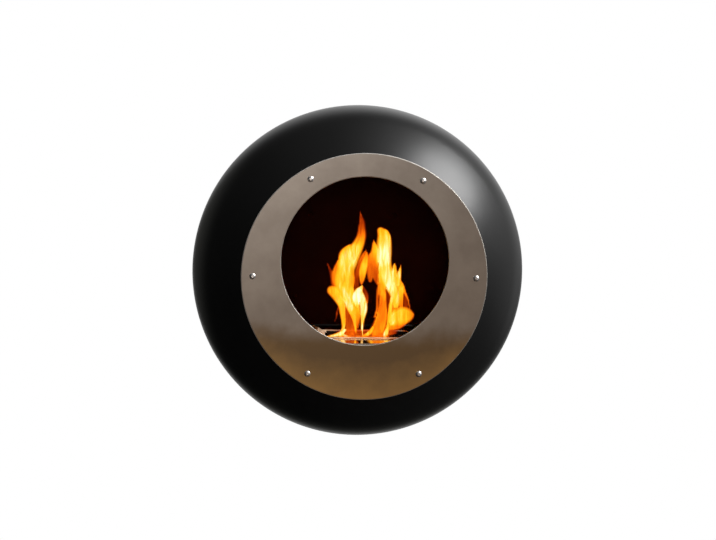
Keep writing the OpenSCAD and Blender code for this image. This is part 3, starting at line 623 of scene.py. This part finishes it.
# Flame tongues: distance in front of the burner's middle, and points along the tongue as
# (x, z, half width, heat). Lengths are in millimetres, and x and z are where the camera
# sees the point in the upright plane through the burner's middle
TONGUES = {
    "bulge_under": (
        12,
        [(60, -104, 4.4, 0.5), (68, -101, 7.0, 0.5), (77, -98, 7.4, 0.46), (88, -92, 5.0, 0.34)],
    ),
    "right_haze": (
        -12,
        [(64, -113, 5.5, 0.24), (71, -106, 6.6, 0.2), (78, -100, 6.6, 0.18), (88, -93, 4.8, 0.15)],
    ),
    "foot_front": (
        28,
        [(-26, -119, 2.9, 0.32), (-9, -119, 3.7, 0.35), (13, -119, 3.3, 0.36), (35, -119, 3.3, 0.36),
         (57, -118, 3.3, 0.3)],
    ),
    "foot_middle": (
        -6,
        [(-37, -114, 2.9, 0.24), (-17, -115, 4.4, 0.29), (9, -115, 4, 0.28), (31, -115, 4, 0.28),
         (53, -115, 4.4, 0.3), (71, -113, 2.9, 0.2)],
    ),
    "foot_rear": (
        -34,
        [(-24, -111, 3.3, 0.24), (-9, -111, 4.4, 0.29), (5, -111, 4, 0.26), (27, -111, 3.7, 0.24),
         (49, -110, 4.4, 0.3), (64, -110, 3.3, 0.22)],
    ),
    "right_dark": (
        -12,
        [(84, -34, 1.8, 0.3), (87, -46, 4.4, 0.22), (88, -58, 5.5, 0.19), (89, -69, 5.1, 0.2)],
    ),
    "right_under": (
        -8,
        [(66, -58, 2.9, 0.36), (67, -67, 4.8, 0.5), (66, -78, 7.3, 0.62), (62, -91, 7.3, 0.66),
         (57, -104, 5.5, 0.7)],
    ),
    "column_edge": (
        4,
        [(38, -22, 2.6, 0.36), (37, -36, 3.7, 0.29), (36, -53, 3.7, 0.29), (36, -67, 3.0, 0.36),
         (31, -84, 2.2, 0.5)],
    ),
    "left_tall_red": (
        6,
        [(-6, 45, 1.5, 0.4), (-2, 57, 3.1, 0.3), (0, 69, 3.7, 0.24), (2, 82, 3.3, 0.2),
         (2, 95, 1.8, 0.16)],
    ),
    "column_fill": (
        -6,
        [(49, -38, 3.3, 0.5), (50, -52, 3.7, 0.5), (50, -64, 4.4, 0.5), (51, -77, 5.1, 0.52),
         (50, -91, 5.1, 0.54), (47, -106, 4.4, 0.56), (44, -119, 3.3, 0.56)],
    ),
    "column_streak": (
        3,
        [(42, -22, 2.6, 0.74), (46, -36, 4.4, 0.7), (48, -50, 4.4, 0.64), (47, -62, 2.6, 0.54)],
    ),
    "column_rim": (
        5,
        [(39, -70, 1.5, 0.6), (36, -85, 2, 0.7), (31, -99, 2.2, 0.74), (25, -110, 2.2, 0.76)],
    ),
    "column_shade": (
        6,
        [(43, -53, 1.5, 0.4), (43, -67, 2.7, 0.36), (42, -82, 2.4, 0.42), (39, -99, 1.8, 0.5)],
    ),
    "right_tall_corner": (
        2,
        [(48, 71, 5.9, 0.78), (53, 62, 5.5, 0.84), (54, 48, 5.1, 0.86)],
    ),
    "left_shade": (
        10,
        [(-12, 13, 1.5, 0.7), (-11, 0, 4, 0.56), (-10, -15, 4.8, 0.5), (-9, -29, 2.6, 0.6)],
    ),
    "bridge": (
        -10,
        [(22, -18, 4, 0.27), (22, -7, 7, 0.34), (21, 6, 8.1, 0.4), (20, 20, 7, 0.45),
         (22, 31, 3.7, 0.41)],
    ),
    "right_fill": (
        -4,
        [(75, -21, 5.5, 0.84), (78, -34, 6.2, 0.78), (79, -47, 5.9, 0.62), (79, -58, 5.5, 0.5),
         (80, -69, 4.4, 0.5)],
    ),
    "left_glow": (
        -20,
        [(-13, -121, 12.8, 0.4), (-12, -101, 12.8, 0.33), (-15, -79, 12.8, 0.3), (-23, -57, 11, 0.36),
         (-31, -39, 11, 0.45), (-35, -24, 5.5, 0.5)],
    ),
    "right_glow": (
        -20,
        [(40, -121, 12.8, 0.29), (44, -100, 13.7, 0.25), (49, -78, 12.8, 0.24), (54, -58, 10.1, 0.18),
         (59, -38, 11, 0.21), (60, -23, 5.5, 0.35)],
    ),
    "gap_glow": (
        -16,
        [(-2, -35, 3.7, 0.2), (-3, -22, 6.6, 0.2), (-3, -9, 6.2, 0.22), (-1, 4, 4.4, 0.28),
         (1, 15, 2.7, 0.3)],
    ),
    "link": (
        -12,
        [(-1, -9, 2.9, 0.28), (1, 4, 5.1, 0.32), (5, 18, 6.6, 0.38), (10, 29, 5.5, 0.4),
         (13, 37, 2.2, 0.34), (15, 44, 0.5, 0.25)],
    ),
    "middle": (
        -6,
        [(36, -23, 3.7, 0.3), (32, -9, 7.7, 0.32), (29, 6, 9.5, 0.4), (28, 22, 9.9, 0.53),
         (30, 38, 8.1, 0.69), (28, 49, 4.4, 0.62), (27, 58, 0.7, 0.37)],
    ),
    "red_wisp": (
        -8,
        [(8, -27, 1.5, 0.14), (12, -36, 4, 0.15), (16, -47, 4.8, 0.2), (17, -57, 2.7, 0.32),
         (17, -62, 0.7, 0.3)],
    ),
    "left_wisp": (
        -6,
        [(-45, -24, 5.5, 0.24), (-48, -8, 4.4, 0.2), (-53, 5, 2.7, 0.17), (-57, 14, 1.5, 0.13),
         (-60, 21, 0.5, 0.09)],
    ),
    "dark_wisp": (
        -6,
        [(-34, -64, 1.5, 0.1), (-37, -75, 2.7, 0.12), (-39, -86, 2, 0.1), (-41, -92, 0.5, 0.08)],
    ),
    "right_edge": (
        -5,
        [(77, -16, 2.2, 0.71), (82, -27, 3.5, 0.63), (86, -38, 3.1, 0.53), (91, -49, 2.6, 0.46),
         (94, -60, 2.4, 0.42), (96, -71, 2.0, 0.39)],
    ),
    "left_flank": (
        -4,
        [(-38, -31, 7.3, 0.49), (-41, -15, 8.4, 0.47), (-40, 1, 7.3, 0.47), (-35, 16, 5.5, 0.49)],
    ),
    "right_column": (
        -4,
        [(33, -121, 5.5, 0.56), (35, -108, 10.6, 0.54), (41, -89, 10.4, 0.52), (44, -71, 8.6, 0.48),
         (45, -53, 7.3, 0.48), (45, -34, 7.3, 0.54), (46, -18, 7, 0.62)],
    ),
    "left_tall": (
        0,
        [(-25, -48, 11, 0.84), (-27, -28, 16.8, 0.84), (-25, -9, 18.7, 0.86), (-23, 5, 18.3, 0.94),
         (-18, 20, 19, 1.02), (-10, 33, 15.7, 0.94), (-3, 44, 12.4, 0.84), (2, 55, 10.6, 0.64),
         (5, 66, 9.1, 0.48), (5, 77, 7.9, 0.34), (5, 88, 6, 0.26), (3, 99, 3.5, 0.18),
         (1, 109, 0.4, 0.1)],
    ),
    "left_shoulder": (
        2,
        [(-26, 12, 11, 0.86), (-26, 27, 11.7, 0.84), (-22, 37, 8.4, 0.82), (-18, 44, 4, 0.7),
         (-16, 49, 0.7, 0.5)],
    ),
    "right_tall": (
        2,
        [(39, 74, 7.1, 0.66), (45, 65, 12.4, 0.8), (46, 51, 14.6, 0.96), (46, 35, 15.4, 1.14),
         (46, 20, 15, 1.16), (49, 6, 13.9, 0.96), (55, -9, 14.6, 1.06), (60, -23, 13.9, 1.14),
         (66, -38, 10.6, 1.02), (69, -52, 8.8, 0.9), (70, -63, 6.6, 0.82)],
    ),
    "right_column_top": (
        0,
        [(42, -38, 7.3, 0.66), (43, -23, 7.3, 0.81), (43, -9, 7.3, 0.9), (42, 6, 6.6, 0.95)],
    ),
    "left_body": (
        4,
        [(-14, -13, 8.4, 0.72), (-15, -31, 8.8, 0.84), (-11, -48, 9.5, 0.88), (-5, -62, 9.5, 0.84),
         (-1, -76, 7.7, 0.68), (0, -90, 5.9, 0.46), (0, -103, 4, 0.3)],
    ),
    "drop": (
        4,
        [(6, -25, 2.2, 0.42), (7, -15, 5.5, 0.61), (8, -3, 7.9, 0.79), (10, 9, 8.1, 0.81),
         (13, 21, 6.2, 0.64), (15, 33, 2.9, 0.46)],
    ),
    "right_streak": (
        8,
        [(64, -34, 2.9, 0.92), (62, -51, 4, 0.92), (60, -67, 4.6, 0.92), (58, -84, 4.4, 0.9),
         (56, -100, 3.8, 0.94), (52, -115, 3.7, 1.02)],
    ),
    "left_stream": (
        10,
        [(-31, -22, 5.5, 0.98), (-27, -39, 7, 1.02), (-20, -53, 7.3, 1.03), (-14, -67, 7.3, 1.02),
         (-8, -81, 5.7, 0.94), (-5, -93, 4, 0.86), (-3, -106, 2.9, 0.78), (-2, -117, 1.6, 0.7)],
    ),
    "spike_one": (
        8,
        [(66, -14, 7.3, 1.0), (66, 1, 5.1, 0.94), (66, 10, 3.3, 0.84), (65, 19, 0.5, 0.6)],
    ),
    "spike_two": (
        10,
        [(72, -23, 6.2, 1.0), (74, -8, 4.8, 1.0), (76, 2, 3.1, 0.98), (77, 10, 1.6, 0.9),
         (78, 16, 0.4, 0.7)],
    ),
    "knob": (
        14,
        [(-47, -36, 10.2, 0.74), (-40, -40, 12.8, 0.78), (-34, -50, 10.6, 0.8), (-29, -62, 8.1, 0.81),
         (-27, -77, 6.2, 0.81), (-25, -92, 4.8, 0.84), (-25, -104, 3.8, 0.9), (-28, -113, 5.1, 0.98),
         (-31, -120, 2.9, 0.93)],
    ),
    "left_fan": (
        24,
        [(-22, -107, 3.3, 1.05), (-30, -114, 4.8, 1.15), (-40, -117, 3.5, 1.15),
         (-50, -119, 2.6, 1.12), (-62, -118, 0.9, 1.0)],
    ),
    "left_fan_tail": (
        24,
        [(-29, -115, 3.7, 1.1), (-21, -118, 2.9, 1.05), (-11, -120, 1.3, 0.9)],
    ),
    "core": (
        16,
        [(9, -23, 0.7, 0.9), (6, -30, 3.7, 1.1), (0, -38, 7.3, 1.3), (-3, -49, 8.4, 1.35),
         (-2, -59, 6.2, 1.15), (-1, -67, 2.6, 0.9)],
    ),
    "core_lobe": (
        18,
        [(7, -28, 1.3, 1.06), (5, -37, 4.4, 1.24), (7, -47, 7, 1.19), (10, -58, 7.9, 1.1),
         (11, -69, 7.7, 1.1), (10, -80, 5.9, 1.1), (9, -91, 4, 1.08), (9, -104, 3.1, 1.08),
         (10, -116, 1.5, 0.99)],
    ),
    "mid_base": (
        20,
        [(29, -101, 2.6, 0.66), (25, -109, 4.4, 0.76), (18, -116, 4.4, 0.88), (8, -120, 1.5, 0.85)],
    ),
    "bulge": (
        16,
        [(61, -95, 5.1, 0.86), (68, -87, 12.8, 0.94), (77, -82, 18.2, 0.84), (85, -80, 17.2, 0.74),
         (92, -80, 12.2, 0.64), (98, -79, 6.1, 0.52), (104, -78, 0.5, 0.35)],
    ),
    "right_base": (
        22,
        [(57, -95, 2.2, 0.84), (55, -105, 4, 0.98), (52, -114, 5.5, 1.12), (50, -121, 2.9, 1.0)],
    ),
}

# Flame's grid, from its lowest to its highest corner, its step, and the height of the
# flame's foot, below which nothing burns, in millimetres
FLAME_LOW = Vector((-80, -48, -128))
FLAME_HIGH = Vector((118, 52, 118))
FLAME_STEP = 2.2
FLAME_FOOT = -121.0
# A tongue's depth as a share of its width, its least half width, and how far apart its
# samples lie
TONGUE_DEPTH = 0.85
TONGUE_LEAST = 1.0
TONGUE_SPACING = 2.0
# Powers with which density falls from a tongue's middle, and with which it weighs the heat
FALL_POWER = 1.5
HEAT_POWER = 3
# Where no tongue reaches: weight, heat, and squared distance in half widths
LEAST_WEIGHT = 1e-6
PLAIN_HEAT = 0.5
OUT_OF_REACH = 9.0
# A skin's separate bits of fewer points than this are left out
FEWEST_POINTS = 50
# Nested skins of the flame from the outermost in: density, opacity and share of the heat
SKINS = [
    (0.02, 0.05, 0.26),
    (0.07, 0.08, 0.38),
    (0.16, 0.11, 0.54),
    (0.29, 0.17, 0.72),
    (0.48, 0.25, 0.92),
    (0.72, 0.50, 1.00),
]
# A skin's opacity grows with its heat: slope, start and least share
VEIL_SLOPE = 1.9
VEIL_START = 0.1
VEIL_LEAST = 0.15


def spline_through(points, spacing, fewest=3):
    """Catmull-Rom samples through points, in even steps by the length of their first two
    numbers, with no fewer steps than this between two points."""
    p = np.array(points, float)
    ends = np.vstack([2 * p[0] - p[1], p, 2 * p[-1] - p[-2]])
    out = []
    for i in range(1, len(ends) - 2):
        a, b, c, d = ends[i - 1 : i + 3]
        steps = max(fewest, int(np.linalg.norm((c - b)[:2]) / spacing))
        t = np.arange(steps)[:, None] / steps
        linear = (c - a) * t
        square = (2 * a - 5 * b + 4 * c - d) * t**2
        cube = (3 * b - a - 3 * c + d) * t**3
        out.append(0.5 * (2 * b + linear + square + cube))
    out.append(p[-1][None])
    return np.vstack(out)


def flame_field():
    """Density and heat of all tongues, melted together, on a grid of (x, ahead, z). A tongue
    is moved along the camera's line of sight, which keeps it where its points say."""
    axes = [np.arange(a, b, FLAME_STEP) for a, b in zip(FLAME_LOW, FLAME_HIGH)]
    density = np.zeros([len(a) for a in axes])
    weight = np.full_like(density, LEAST_WEIGHT)
    heat = weight * PLAIN_HEAT
    toward = VIEW_TARGET - camera_place()
    lean = Vector((toward.x, toward.z)) / -toward.y
    for ahead, points in TONGUES.values():
        line = spline_through(points, TONGUE_SPACING)
        line[:, 0] += lean.x * ahead
        line[:, 1] += lean.y * ahead
        width = np.maximum(line[:, 2], TONGUE_LEAST)
        low = (line[:, :2] - width[:, None]).min(0)
        high = (line[:, :2] + width[:, None]).max(0)
        deep = width.max() * TONGUE_DEPTH
        spans = [(low[0], high[0]), (ahead - deep, ahead + deep), (low[1], high[1])]
        part = tuple(slice(*np.searchsorted(axis, span)) for axis, span in zip(axes, spans))
        x, y, z = np.meshgrid(*[axis[p] for axis, p in zip(axes, part)], indexing="ij")
        nearest = np.full(x.shape, OUT_OF_REACH)
        own_heat = np.zeros(x.shape)
        for (px, pz, _, warmth), w in zip(line, width):
            away = ((x - px) ** 2 + (z - pz) ** 2 + ((y - ahead) / TONGUE_DEPTH) ** 2) / w**2
            closer = away < nearest
            nearest[closer] = away[closer]
            own_heat[closer] = warmth
        own = np.clip(1 - nearest**FALL_POWER, 0, 1)
        density[part] = 1 - (1 - density[part]) * (1 - own)
        weight[part] += own**HEAT_POWER
        heat[part] += own**HEAT_POWER * own_heat
    density[:, :, axes[2] < FLAME_FOOT] = 0
    return density, heat / weight


def between(grid, places):
    """Values of a grid at fractional places."""
    base = np.clip(places.astype(int), 0, np.array(grid.shape) - 2)
    part = places - base
    total = 0
    for corner in np.ndindex(2, 2, 2):
        share = np.prod(np.where(corner, part, 1 - part), axis=1)
        total = total + share * grid[tuple((base + corner).T)]
    return total


def level_surface(grid, level):
    """Closed quad surface where a grid crosses a level, as fractional places and faces."""
    inside = grid > level
    total = np.zeros((*grid.shape, 3))
    count = np.zeros(grid.shape)
    quads = []
    for axis in range(3):
        step = np.eye(3, dtype=int)[axis]
        side, up = np.roll(step, 1), np.roll(step, 2)
        first = tuple(slice(0, -1) if a == axis else slice(None) for a in range(3))
        second = tuple(slice(1, None) if a == axis else slice(None) for a in range(3))
        edges = np.argwhere(inside[first] != inside[second])
        here = grid[tuple(edges.T)]
        there = grid[tuple((edges + step).T)]
        crossing = edges + ((level - here) / (there - here))[:, None] * step
        cells = [edges, edges - side, edges - side - up, edges - up]
        for cell in cells:
            np.add.at(total, tuple(cell.T), crossing)
            np.add.at(count, tuple(cell.T), 1)
        corners = np.stack(cells, 1)
        leaving = inside[tuple(edges.T)]
        corners[~leaving] = corners[~leaving][:, ::-1]
        quads.append(corners)
    used = count > 0
    number = np.cumsum(used.ravel()).reshape(used.shape) - 1
    places = total[used] / count[used][:, None]
    faces = number[tuple(np.moveaxis(np.concatenate(quads), 2, 0))]
    return places, faces


def without_crumbs(places, faces, fewest):
    """The same surface without its separate bits of fewer points than this."""
    group = np.arange(len(places))
    while True:
        lowest = group.copy()
        np.minimum.at(lowest, faces, group[faces].min(1)[:, None])
        lowest = lowest[lowest]
        if np.array_equal(lowest, group):
            break
        group = lowest
    kept = np.bincount(group, minlength=len(places))[group] >= fewest
    number = np.cumsum(kept) - 1
    return places[kept], number[faces[kept[faces[:, 0]]]]


def flame(material):
    """All tongues in one piece of nested skins."""
    density, heat = flame_field()
    vertices, faces, glow, veil = [], [], [], []
    start = 0
    for level, opacity, warmth in SKINS:
        places, quads = without_crumbs(*level_surface(density, level), FEWEST_POINTS)
        x, ahead, z = (np.array(FLAME_LOW) + places * FLAME_STEP).T
        vertices.append(np.stack([x, -EQUATOR_Y / MM - ahead, z], 1) * MM)
        faces.append(quads[:, ::-1] + start)
        warm = between(heat, places) * warmth
        glow.append(warm)
        veil.append(opacity * np.clip(warm * VEIL_SLOPE - VEIL_START, VEIL_LEAST, 1))
        start += len(places)
    piece = new_object(
        "flame", np.vstack(vertices).tolist(), np.vstack(faces).tolist(), material, ALL_SMOOTH
    )
    for name, values in (("glow", glow), ("veil", veil)):
        attribute = piece.data.attributes.new(name, "FLOAT", "POINT")
        attribute.data.foreach_set("value", np.concatenate(values).astype(np.float32))
    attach(piece, "burner")
    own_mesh(piece)


FINISHES = {
    "black_shell": powder_coat("black_shell_finish", 0.0010, 0.0016, 0.31, 0.35),
    "brushed_bezel": steel_with_painted_light("brushed_bezel_finish"),
    "polished_steel": brushed_steel(
        "polished_steel_finish", (0.56, 0.54, 0.52), (0.62, 0.60, 0.58), 0.07, 0.12
    ),
    "burner_steel": dark_topped_steel("burner_steel_finish"),
    "straw_and_fire_lit_steel": straw_and_fire_lit_steel("straw_and_fire_lit_steel_finish"),
    "zinc_steel": brushed_steel(
        "zinc_steel_finish", (0.48, 0.49, 0.50), (0.60, 0.61, 0.62), 0.30, 0.42
    ),
    "screw_steel": brushed_steel(
        "screw_steel_finish", (0.70, 0.67, 0.65), (0.78, 0.75, 0.73), 0.26, 0.32
    ),
    "black_plate": powder_coat(
        "black_plate_finish", 0.010, 0.016, 0.42, 0.52, grain=900, specular=0.4
    ),
    "black_screw": powder_coat(
        "black_screw_finish", 0.012, 0.020, 0.35, 0.45, grain=2000, specular=0.4
    ),
    # Painted light: the black plate carries a red glow of the fire in its colour
    "fire_glow_plate": powder_coat(
        "fire_glow_plate_finish",
        (0.014, 0.0018, 0.0008),
        (0.020, 0.0026, 0.0012),
        0.60,
        0.70,
        grain=800,
        specular=0.02,
    ),
    "rubber": rubber("rubber_finish"),
    "ceramic_wool": wool("ceramic_wool_finish"),
}

# Nodes whose finish their own slots don't say: heat tint with painted fire light on the burner's
# rim and handle, and a painted red glow of the fire on the heat shield and its screws
FIRE_TINTED_AND_LIT = {
    "burner_top": "straw_and_fire_lit_steel",
    "lid_handle": "straw_and_fire_lit_steel",
    "heat_shield": "fire_glow_plate",
    "shield_screws": "fire_glow_plate",
}


def dress_cad_nodes():
    """Every CAD node in the finish of its slot, or in its finish of heat tint and painted fire light.
    """
    for name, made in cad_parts.items():
        for slot in made.material_slots:
            slot.material = FINISHES[FIRE_TINTED_AND_LIT.get(name, slot.material.name)]


def camera_place():
    a, e = math.radians(VIEW_AZIMUTH), math.radians(VIEW_ELEVATION)
    back = Vector((math.sin(a) * math.cos(e), -math.cos(a) * math.cos(e), math.sin(e)))
    return VIEW_TARGET + back * VIEW_DISTANCE


def place_facing(made, place, way, roll=0.0):
    """Puts a camera or lamp in the scene, turned to look along a way, with a roll in degrees."""
    bpy.context.scene.collection.objects.link(made)
    made.location = place
    made.rotation_mode = "QUATERNION"
    turn = Quaternion((0, 0, 1), math.radians(roll))
    made.rotation_quaternion = way.to_track_quat("-Z", "Y") @ turn


def camera():
    data = bpy.data.cameras.new("camera")
    data.lens = VIEW_LENS
    data.sensor_width = VIEW_SENSOR
    data.clip_start, data.clip_end = VIEW_CLIP
    made = bpy.data.objects.new("camera", data)
    place_facing(made, camera_place(), VIEW_TARGET - camera_place(), VIEW_ROLL)
    bpy.context.scene.camera = made


def softbox(name, direction, distance, diameter, power, colour):
    """A round soft lamp, aimed at the object and unseen by the camera."""
    data = bpy.data.lights.new(name, "AREA")
    data.shape = "ELLIPSE"
    data.size = diameter
    data.size_y = diameter
    data.energy = power
    data.color = colour
    made = bpy.data.objects.new(name, data)
    way = Vector(direction).normalized()
    place_facing(made, VIEW_TARGET + way * distance, -way)
    made.visible_camera = False


def studio():
    """The world: white to the camera, a grey room to gloss, and plain grey light to the rest."""
    world = bpy.data.worlds.new("studio")
    bpy.context.scene.world = world
    world.use_nodes = True
    tree = world.node_tree
    tree.nodes.clear()
    way = node(tree, "ShaderNodeTexCoord").outputs["Generated"]

    def nearness(direction):
        toward = Vector(direction).normalized()
        return node(
            tree, "ShaderNodeVectorMath", {0: way, 1: toward}, operation="DOT_PRODUCT"
        ).outputs["Value"]

    room = ramp(tree, rise(tree, nearness(KEY_WAY), -1.0, 1.0), ROOM_GREYS)
    for direction, full, gone, colour in ROOM_SPOTS:
        ends = math.cos(math.radians(gone)), math.cos(math.radians(full))
        share = rise(tree, nearness(direction), *ends, smooth=True)
        spot = mix(tree, share, grey(0), (*colour, 1))
        room = mix(tree, 1.0, room, spot, blend="ADD")
    rays = node(tree, "ShaderNodeLightPath").outputs
    mirrored = maths(tree, "MAXIMUM", rays["Is Glossy Ray"], rays["Is Transmission Ray"])
    unseen = mix(tree, mirrored, grey(ROOM_LIGHT), room)
    colour = mix(tree, rays["Is Camera Ray"], unseen, grey(1))
    background = node(tree, "ShaderNodeBackground", {"Color": colour, "Strength": 1.0})
    node(tree, "ShaderNodeOutputWorld", {"Surface": background.outputs["Background"]})


def floor():
    """Pale round floor that keeps the object's shadow and turns to the white of the backdrop."""
    middle = (0, -EQUATOR_Y, FLOOR_Z)
    turns = [2 * math.pi * i / FLOOR_SIDES for i in range(FLOOR_SIDES)]
    ring = [(FLOOR_R * math.cos(a), FLOOR_R * math.sin(a) - EQUATOR_Y, FLOOR_Z) for a in turns]
    material, tree = new_material("floor_finish")
    made = new_object("floor", ring, [tuple(range(FLOOR_SIDES))], material)
    grain = noise(tree, object_coordinates(tree), 3, detail=3)
    matte = node(tree, "ShaderNodeBsdfDiffuse", {"Color": vary(tree, grain, 0.78, 0.81)})
    place = node(tree, "ShaderNodeTexCoord").outputs["Object"]
    reach = node(
        tree, "ShaderNodeVectorMath", {0: place, 1: middle}, operation="DISTANCE"
    ).outputs["Value"]
    fade = rise(tree, reach, *FLOOR_FADE, smooth=True)
    rays = node(tree, "ShaderNodeLightPath").outputs
    share = maths(tree, "MULTIPLY", fade, rays["Is Camera Ray"])
    white = node(tree, "ShaderNodeEmission", {"Color": grey(1), "Strength": 1.0})
    mixed = node(
        tree,
        "ShaderNodeMixShader",
        {0: share, 1: matte.outputs["BSDF"], 2: white.outputs["Emission"]},
    )
    output(material, mixed.outputs["Shader"])
    made.visible_glossy = False


dress_cad_nodes()
shell_halves(FINISHES["black_shell"])
bezel(FINISHES["brushed_bezel"])
flame(flame_material("flame_glow"))
camera()
for name, lamp in LAMPS.items():
    softbox(name, *lamp)
studio()
floor()

scene = bpy.context.scene
scene.view_settings.view_transform = "Standard"
scene.cycles.transparent_max_bounces = FLAME_BOUNCES
